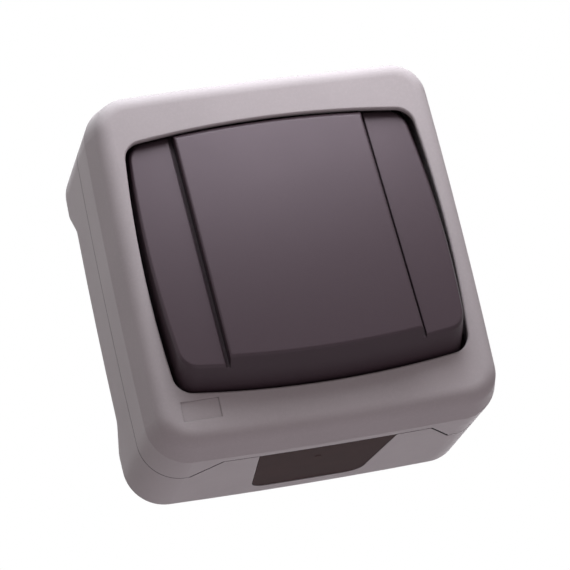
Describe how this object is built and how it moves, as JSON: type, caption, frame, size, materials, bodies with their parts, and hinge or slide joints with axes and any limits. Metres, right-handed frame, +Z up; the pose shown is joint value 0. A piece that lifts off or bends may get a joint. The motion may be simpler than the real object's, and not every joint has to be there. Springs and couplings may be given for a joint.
{
  "type": "outdoor weatherproof switch",
  "caption": "Surface-mounted splash-proof light switch: square two-part housing with corner feet, a barrel-shaped rocker that tilts about its middle, and a soft cable entry below.",
  "frame": {"origin": "middle of the face that meets the wall", "axes": "+Z up as mounted, +Y back into the wall, +X to the right as seen from the front"},
  "size_m": [0.0748, 0.0451, 0.079],
  "materials": {
    "housing_grey": "fine moulded satin",
    "rocker_anthracite": "fine moulded satin",
    "black_rubber": "matt",
    "entry_rubber": "matt",
    "insert_white": "moulded",
    "brass": "stamped",
    "contact_metal": "polished contact",
    "plated_steel": "zinc plated",
    "spring_steel": "drawn wire"
  },
  "bodies": {
    "housing": {"rear_box": "housing_grey", "front_cover": "housing_grey", "cover_gasket": "black_rubber", "rocker_seal": "black_rubber", "cable_entry_seal": "entry_rubber", "insert_base": "insert_white", "insert_plate": "insert_white", "common_terminal": "brass", "fixed_contact_strip": "brass", "fixed_contact": "contact_metal", "terminal_clamps": "plated_steel", "terminal_screws": "plated_steel", "insert_screws": "plated_steel", "cover_screws": "plated_steel"},
    "rocker": {"rocker_cap": "rocker_anthracite", "rocker_cradle": "insert_white", "plunger": "insert_white", "plunger_spring": "spring_steel"},
    "lever": {"contact_lever": "brass", "moving_contact": "contact_metal"}
  },
  "joints": [
    {"name": "rocker_tilt", "type": "hinge", "parent": "housing", "child": "rocker", "pos_m": [0, -0.0245, 0], "axis": [1, 0, 0], "range_deg": [0, 14.8]},
    {"name": "lever_tilt", "type": "hinge", "parent": "housing", "child": "lever", "pos_m": [0, -0.0148, 0], "axis": [1, 0, 0], "range_deg": [-10, 0]}
  ],
  "couplings": [
    {"joint": "lever_tilt", "follows": "rocker_tilt", "ratio": -0.6756}
  ]
}
